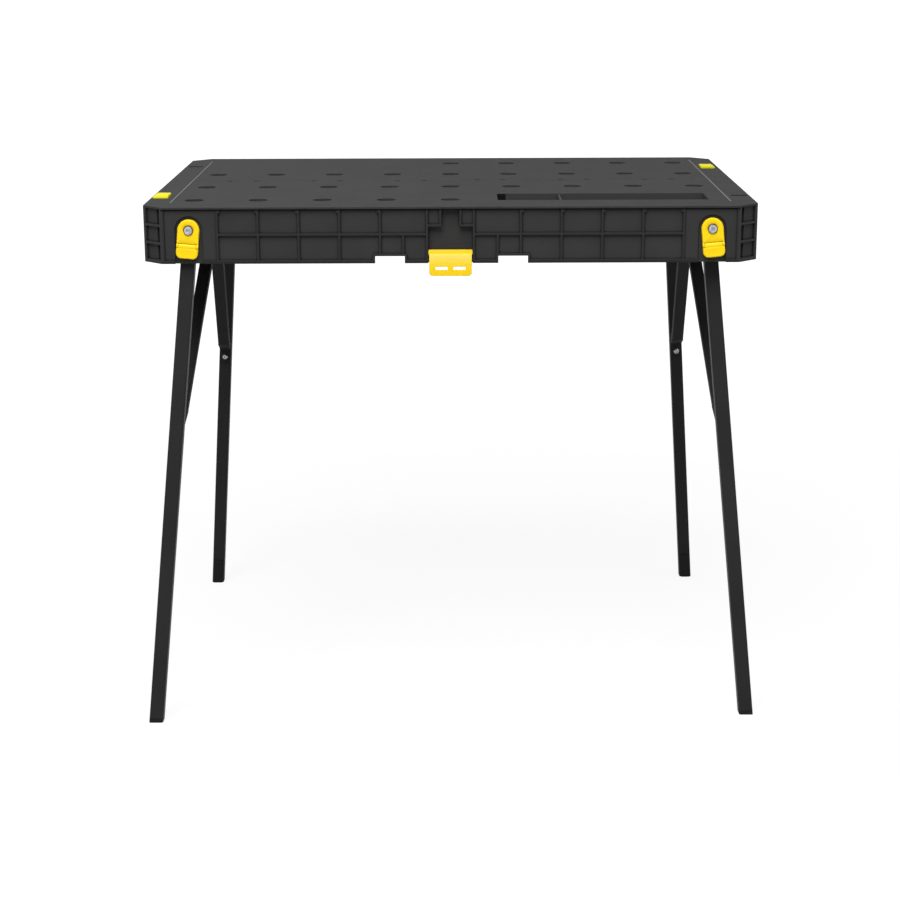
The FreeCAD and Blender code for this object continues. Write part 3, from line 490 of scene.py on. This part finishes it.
# shells: closed rings of points, joined one to the next
def addShell(bm, rings, ends):
    rows = [[bm.verts.new(point) for point in ring] for ring in rings]
    count = len(rows[0])
    pairs = list(zip(rows, rows[1:]))
    if ends == "joined":
        pairs.append((rows[-1], rows[0]))
    for lower, upper in pairs:
        for i in range(count):
            j = (i + 1) % count
            bm.faces.new((lower[i], lower[j], upper[j], upper[i]))
    if ends == "capped":
        bm.faces.new(rows[0])
        bm.faces.new(rows[-1])


def finishPiece(name, bm, matrix, finish, body, replaced, sharpAngle=38):
    bmesh.ops.recalc_face_normals(bm, faces=bm.faces)
    bm.transform(matrix)
    mesh = smoothMesh(name, bm)
    mesh.set_sharp_from_angle(angle=math.radians(sharpAngle))
    mesh.materials.append(finishes[finish])
    obj = addObject(name, mesh)
    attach(obj, body)
    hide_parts(*replaced)


def roundedRect(x0, x1, z0, z1, radii, steps):
    # corners in turn: left top, right top, right bottom, left bottom
    corners = ((x0, z1, 0, -1, 1, 0), (x1, z1, -1, 0, 0, -1), (x1, z0, 0, 1, -1, 0), (x0, z0, 1, 0, 0, 1))
    points = []
    for (x, z, backX, backZ, onX, onZ), r in zip(corners, radii):
        midX, midZ = x + r * (backX + onX), z + r * (backZ + onZ)
        for c, s in quarterTurn(steps):
            points.append((midX - r * (onX * c + backX * s), midZ - r * (onZ * c + backZ * s)))
    return points


def insetRect(rect, radii, inset, steps, smallest=0.05):
    x0, x1, z0, z1 = rect
    kept = [max(r - inset, smallest) for r in radii]
    return roundedRect(x0 + inset, x1 - inset, z0 + inset, z1 - inset, kept, steps)


def roundedOver(rect, radii, low, high, edge, steps, place, edgeSteps=5):
    # a plate's wall and rounded upper edge, as rings; place turns (x, z, height) into a point
    rings = [[place(x, z, low) for x, z in insetRect(rect, radii, 0, steps)]]
    for c, s in quarterTurn(edgeSteps):
        outline = insetRect(rect, radii, edge * (1 - c), steps)
        rings.append([place(x, z, high - edge + edge * s) for x, z in outline])
    return rings


def softEnds(low, high, ends):
    # places along a bar from end to end, each with how far its section is drawn in there
    first = [(low + along, inset) for along, inset in ends]
    return first + [(high - along, inset) for along, inset in reversed(ends)]


# leg locks: a fixed plate round each pivot bolt, and the pull below it, in mm from the bolt
lockPull = {
    "halfWidth": 15.0,
    "gap": 0.3,                  # between moving faces
    "plateEnd": 18.5,            # below the bolt
    "plateThick": 5.6,
    "plateEdge": 1.4,
    "plateCorner": 0.8,
    "plateSteps": 12,            # in each corner
    "hingeEdgeReach": 1.6,       # how much of an edge's rounding is kept small at the hinge
    "hingeEdgeShare": 0.25,
    "boltRoom": 7.2,
    "boltEdge": ((0.7, 0.0), (0.2, 0.25), (0.0, 0.7)),    # out from the room, and down from the face
    "boltSeat": 1.2,
    "shankRoom": 4.7,
    "pinDrop": 22.0,             # hinge pin below the bolt, and out of the wall
    "pinOut": 3.5,
    "barrel": 3.2,
    "ear": 2.6,
    "earEnd": 25.1,
    "earFront": ((-1.2, 0.0), (0.0, -0.8), (0.6, -1.8), (0.9, -3.2)),    # past the plate's face and end
    "earFoot": ((0.8, 0.9), (0.4, 0.3), (-0.4, 0.0)),     # past the plate's face, and above the ear's end
    "earMiddle": 3.2,            # parts the ear's front from its back
    "earEnds": ((0.0, 0.4), (0.3, 0.1), (0.6, 0.0)),      # in from a side, and how far it is drawn in
    "padTop": 25.4,
    "padEnd": 39.1,
    "padThick": 6.6,
    "padCorner": 7.0,
    "padTopCorner": 0.9,
    "padEdge": 1.5,
    "padSteps": 8,               # in each corner
    "padHollow": 0.35,           # how far the thumb face dips
    "padRings": (0.85, 0.65, 0.4, 0.15),
    "neckTurns": 14,
    "neckRoot": 1.0,             # how far the neck runs into the pad
    "neckBack": 0.2,
    "neckFront": 0.5,
    "neckShoulder": 0.8,
    "neckEnds": ((0.0, 0.35), (0.3, 0.08), (0.7, 0.0)),   # in from a side, and how far it is drawn in
    "neckReach": 3.0,            # from the pin to where that drawing in counts in full
    "nose": 3.5,
    "noseDrop": 34.0,
    "noseTip": ((1.0, 1.0), (0.4, 0.9), (0.0, 0.65)),     # back from the tip, and share of the radius
    "noseSides": 20,
}


def lockPlace(joint, side):
    # x across the plate, y out of the wall, z up to the bolt, found from the pull's hinge pin
    across = Vector(joint["axis"]).normalized()
    out = Vector((0, side, 0))
    up = across.cross(out)
    pin = Vector(joint["pos_m"])
    origin = pin - out * lockPull["pinOut"] * mm + up * lockPull["pinDrop"] * mm
    matrix = Matrix.Identity(4)
    for column, axis in enumerate((across * mm, out * mm, up * mm, origin)):
        for row in range(3):
            matrix[row][column] = axis[row]
    return matrix


def outward(x, z, height):
    return Vector((x, height, z))


def keepEdge(rings, level, values):
    # keeps the rounding small along the edge that meets the hinge
    for ring in rings:
        for point in ring:
            if abs(point.z - level) < values["hingeEdgeReach"]:
                point.z = level + (point.z - level) * values["hingeEdgeShare"]


def addPlate(bm, values):
    half, thick, room, steps = (values[k] for k in ("halfWidth", "plateThick", "boltRoom", "plateSteps"))
    rect = (-half, half, -values["plateEnd"], half)
    radii = (half, half, values["plateCorner"], values["plateCorner"])
    rings = roundedOver(rect, radii, 0.0, thick, values["plateEdge"], steps, outward)
    keepEdge(rings, -values["plateEnd"], values)
    # down into the bolt's seat and through the hole for its shank
    seat, shank = thick - values["boltSeat"], values["shankRoom"]
    well = [(room + out, thick - down) for out, down in values["boltEdge"]]
    well += [(room, seat), (shank, seat), (shank, 0.0)]
    directions = [Vector((x, 0, z)).normalized() for x, z in insetRect(rect, radii, 0, steps)]
    for radius, height in well:
        rings.append([d * radius + Vector((0, height, 0)) for d in directions])
    addShell(bm, rings, "joined")


def addEars(bm, values):
    half, thick, top, end = (values[k] for k in ("halfWidth", "plateThick", "plateEnd", "earEnd"))
    profile = [(values["gap"], -top)]
    profile += [(thick + out, rise - top) for out, rise in values["earFront"]]
    profile += [(thick + out, rise - end) for out, rise in values["earFoot"]]
    profile.append((values["gap"], -end))
    middleY, middleZ = values["earMiddle"], -(top + end) / 2
    for start in (-half, half - values["ear"]):
        rings = []
        for x, inset in softEnds(start, start + values["ear"], values["earEnds"]):
            rings.append([Vector((x, y - math.copysign(inset, y - middleY),
                                  z - math.copysign(inset, z - middleZ))) for y, z in profile])
        addShell(bm, rings, "capped")


def addPad(bm, values):
    half, thick, top, end = values["halfWidth"], values["padThick"], -values["padTop"], -values["padEnd"]
    rect = (-half, half, end, top)
    radii = (values["padTopCorner"], values["padTopCorner"], values["padCorner"], values["padCorner"])
    rings = roundedOver(rect, radii, values["gap"], thick, values["padEdge"], values["padSteps"], outward)
    keepEdge(rings, top, values)
    face = insetRect(rect, radii, values["padEdge"], values["padSteps"])
    middle = (top + end) / 2
    for share in values["padRings"]:
        dip = values["padHollow"] * (1 - share ** 2)
        rings.append([Vector((x * share, thick - dip, middle + (z - middle) * share)) for x, z in face])
    addShell(bm, rings, "capped")


def addNeck(bm, values):
    # runs up from the pad and round the hinge pin, between the ears
    thick, top, turns = values["padThick"], -values["padTop"], values["neckTurns"]
    pinY, pinZ, barrel = values["pinOut"], -values["pinDrop"], values["barrel"]
    root = top - values["neckRoot"]
    profile = [(values["gap"] + values["neckBack"], root)]
    for i in range(turns + 1):
        a = math.pi - math.pi * i / turns
        profile.append((pinY + barrel * math.cos(a), pinZ + barrel * math.sin(a)))
    profile += [(thick, top + values["neckShoulder"]), (thick - values["neckFront"], root)]
    half = values["halfWidth"] - values["ear"] - values["gap"]
    rings = []
    for x, inset in softEnds(-half, half, values["neckEnds"]):
        share = 1 - inset / values["neckReach"]
        rings.append([Vector((x, pinY + (y - pinY) * share, pinZ + (z - pinZ) * share)) for y, z in profile])
    addShell(bm, rings, "capped")


def addNose(bm, values, noseEnd):
    # a peg from the pull's back towards the leg
    rings = []
    for y, share in [(values["pinOut"], 1.0)] + [(noseEnd + back, share) for back, share in values["noseTip"]]:
        r = values["nose"] * share
        rings.append([Vector((r * c, y, r * s - values["noseDrop"])) for c, s in circle(values["noseSides"])])
    addShell(bm, rings, "capped")


def addPlaced(target, piece, matrix):
    # moves a piece to its place and adds it to a larger one
    piece.transform(matrix)
    carrier = bpy.data.meshes.new("lockPart")
    piece.to_mesh(carrier)
    piece.free()
    target.from_mesh(carrier)
    bpy.data.meshes.remove(carrier)


for half, side in (("front", -1), ("rear", 1)):
    plates = bmesh.new()
    for hand in ("left", "right"):
        corner = half + "_" + hand
        tabName = corner + "_lock_tab"
        place = lockPlace(joints[tabName], side)
        plate = bmesh.new()
        addPlate(plate, lockPull)
        addEars(plate, lockPull)
        addPlaced(plates, plate, place)
        low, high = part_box(tabName)
        innerEnd = high[1] if side < 0 else low[1]
        pull = bmesh.new()
        addPad(pull, lockPull)
        addNeck(pull, lockPull)
        addNose(pull, lockPull, (innerEnd - place[1][3]) * side / mm)
        finishPiece(corner + "_lock_pull", pull, place, "yellow", tabName, [tabName])
    finishPiece(half + "_lock_plates_shaped", plates, Matrix.Identity(4), "yellow",
                half + "_half", [half + "_lock_plates"])
print("leg locks shaped")


# latch: barrel on its pin and a bulged flap with two slots, in mm from the pin
latchFlap = {
    "halfWidth": 29.4,
    "barrelHalf": 30.4,
    "barrel": 4.0,
    "barrelRim": 0.8,
    "barrelSides": 28,
    "rimAngles": (0, 0.52, 1.05, 1.571),
    "bore": 1.6,
    "drop": 32.0,                # to the flap's end
    "bulge": 7.2,                # to the flap's face where it stands out most
    "bulgeDrop": 15.0,
    "endOut": 5.6,
    "endCurve": 1.5,             # how the face curves back below the bulge, and above it
    "startCurve": 2,
    "start": 1.0,
    "startIn": 0.1,              # how far the face starts inside the barrel
    "thick": 3.0,
    "corner": 5.0,
    "slotOffset": 12.4,
    "slotHalf": 8.5,
    "slotLow": 24.0,
    "slotHigh": 19.0,
    "edge": 0.5,
    "edgeSteps": 2,
    "edgeAngle": 50,             # degrees; sharper edges are rounded
    "upperRows": 14,
    "slotRows": 4,
    "lowerRows": 3,
    "cornerRows": 6,
    "sideColumns": 5,
    "slotColumns": 6,
    "middleColumns": 3,
}


def flapFace(values, drop):
    # how far the flap stands out at a drop below the pin
    bulge, bulgeDrop = values["bulge"], values["bulgeDrop"]
    if drop < bulgeDrop:
        share = (bulgeDrop - drop) / (bulgeDrop - values["start"])
        return bulge - (bulge - values["barrel"] + values["startIn"]) * share ** values["startCurve"]
    share = (drop - bulgeDrop) / (values["drop"] - bulgeDrop)
    return bulge - (bulge - values["endOut"]) * share ** values["endCurve"]


def flapNormal(values, drop, step=0.05):
    ahead = flapFace(values, drop + step) - flapFace(values, drop - step)
    return Vector((0, 1, ahead / (2 * step))).normalized()


def flapShell(values):
    half, corner, end = values["halfWidth"], values["corner"], values["drop"]
    slotHigh, slotLow = values["slotHigh"], values["slotLow"]
    inner, outer = values["slotOffset"] - values["slotHalf"], values["slotOffset"] + values["slotHalf"]
    drops = spread(values["start"], slotHigh, values["upperRows"])
    drops += spread(slotHigh, slotLow, values["slotRows"])
    drops += spread(slotLow, end - corner, values["lowerRows"])
    drops += [end - corner * (1 - s) for c, s in quarterTurn(values["cornerRows"])]
    # columns are fixed over the slots, and follow the flap's sides outside them
    fixed = spread(-outer, -inner, values["slotColumns"]) + spread(-inner, inner, values["middleColumns"])
    fixed += spread(inner, outer, values["slotColumns"])
    columns = [("side", -1, share) for share in spread(1, 0, values["sideColumns"])]
    columns += [("fixed", x, 0) for x in fixed]
    columns += [("side", 1, share) for share in spread(0, 1, values["sideColumns"]) + [1]]
    bm = bmesh.new()
    faceRows, backRows = [], []
    for drop in drops:
        wide = half
        if drop > end - corner:
            wide = half - corner + math.sqrt(max(corner ** 2 - (drop - end + corner) ** 2, 0))
        face = []
        for kind, value, share in columns:
            x = value * (outer + (wide - outer) * share) if kind == "side" else value
            face.append(Vector((x, flapFace(values, drop), -drop)))
        depth = flapNormal(values, drop) * values["thick"]
        faceRows.append([bm.verts.new(point) for point in face])
        backRows.append([bm.verts.new(point - depth) for point in face])

    def within(value, low, high, hair=0.01):
        return low - hair < value < high - hair

    def inSlot(row, column):
        kind, value, share = columns[column]
        across = within(value, -outer, -inner) or within(value, inner, outer)
        return kind == "fixed" and across and within(drops[row], slotHigh, slotLow)

    cells = [(r, c) for r in range(len(drops) - 1) for c in range(len(columns) - 1) if not inSlot(r, c)]
    edges = {}
    for r, c in cells:
        loop = ((r, c), (r, c + 1), (r + 1, c + 1), (r + 1, c))
        bm.faces.new([faceRows[a][b] for a, b in loop])
        bm.faces.new([backRows[a][b] for a, b in reversed(loop)])
        for first, second in zip(loop, loop[1:] + loop[:1]):
            key = tuple(sorted((first, second)))
            edges[key] = edges.get(key, 0) + 1
    # an edge of one cell alone is on the rim or a slot, and gets a wall from face to back
    for (first, second), count in edges.items():
        if count == 1:
            bm.faces.new((faceRows[first[0]][first[1]], faceRows[second[0]][second[1]],
                          backRows[second[0]][second[1]], backRows[first[0]][first[1]]))
    bmesh.ops.recalc_face_normals(bm, faces=bm.faces)
    sharpest = math.radians(values["edgeAngle"])
    sharp = [e for e in bm.edges if len(e.link_faces) == 2 and e.calc_face_angle(0) > sharpest]
    bmesh.ops.bevel(bm, geom=sharp, offset=values["edge"], segments=values["edgeSteps"], affect="EDGES",
                    clamp_overlap=True)
    return bm


def addBarrel(bm, values):
    half, radius, rim, bore = (values[k] for k in ("barrelHalf", "barrel", "barrelRim", "bore"))
    ends = [(0.0, bore)]
    ends += [(rim * (1 - math.cos(a)), radius - rim + rim * math.sin(a)) for a in values["rimAngles"]]
    spans = [(along - half, r) for along, r in ends] + [(half - along, r) for along, r in reversed(ends)]
    rings = [[Vector((x, r * c, r * s)) for c, s in circle(values["barrelSides"])] for x, r in spans]
    addShell(bm, rings, "joined")


flap = flapShell(latchFlap)
addBarrel(flap, latchFlap)
latchPin = Vector(joints["latch"]["pos_m"])
latchPlace = Matrix.Translation(latchPin) @ Matrix.Diagonal((mm, -mm, mm, 1))
finishPiece("latch_flap", flap, latchPlace, "latch", "latch", ["latch"])
print("latch shaped")


# bench stops: a stepped pad on a sprung stem
benchStop = {
    "lowTier": 1.9,              # above the deck
    "seat": 2.5,                 # below the deck's face
    "tierInsetEnd": 2.2,
    "tierInsetFace": 5.5,
    "overlap": 0.4,              # how far each piece runs into the one that carries it
    "corner": 2.0,
    "edge": 0.7,
    "topEdge": 1.0,
    "steps": 5,                  # in each corner
    "stemOut": 6.9,              # from the bench's end
    "stemWidth": 10.0,
    "stemLength": 27.0,
    "stemCorner": 1.0,
    "stemEdge": 0.8,
    "stemSteps": 3,
}


def upward(x, y, height):
    return Vector((x, y, height))


def downward(x, y, depth):
    return Vector((x, y, -depth))


def addStop(bm, low, high, values, side, benchEnd):
    x0, x1, y0, y1 = low[0] / mm, high[0] / mm, low[1] / mm, high[1] / mm
    tier, seat, steps = deckTop + values["lowTier"], deckTop - values["seat"], values["steps"]
    radii = [values["corner"]] * 4
    addShell(bm, roundedOver((x0, x1, y0, y1), radii, seat, tier, values["edge"], steps, upward), "capped")
    upper = [x0, x1, y0, y1]
    upper[0 if side < 0 else 1] -= side * values["tierInsetEnd"]
    upper[2 if side < 0 else 3] -= side * values["tierInsetFace"]
    rings = roundedOver(tuple(upper), radii, tier - values["overlap"], high[2] / mm, values["topEdge"],
                        steps, upward)
    addShell(bm, rings, "capped")
    outer = benchEnd - side * values["stemOut"]
    left, right = sorted((outer, outer - side * values["stemWidth"]))
    middle, reach = (y0 + y1) / 2, values["stemLength"] / 2
    rings = roundedOver((left, right, middle - reach, middle + reach), [values["stemCorner"]] * 4,
                        -(seat + values["overlap"]), -low[2] / mm, values["stemEdge"], values["stemSteps"],
                        downward)
    addShell(bm, rings, "capped")


deckLow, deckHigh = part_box("front_top")
halfLength = (deckHigh[0] - deckLow[0]) / mm / 2
for name, side in (("front_stop", -1), ("rear_stop", 1)):
    low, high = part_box(name)
    stop = bmesh.new()
    addStop(stop, low, high, benchStop, side, side * halfLength)
    finishPiece(name + "_pad", stop, Matrix.Scale(mm, 4), "lemon", name, [name])
print("bench stops shaped")
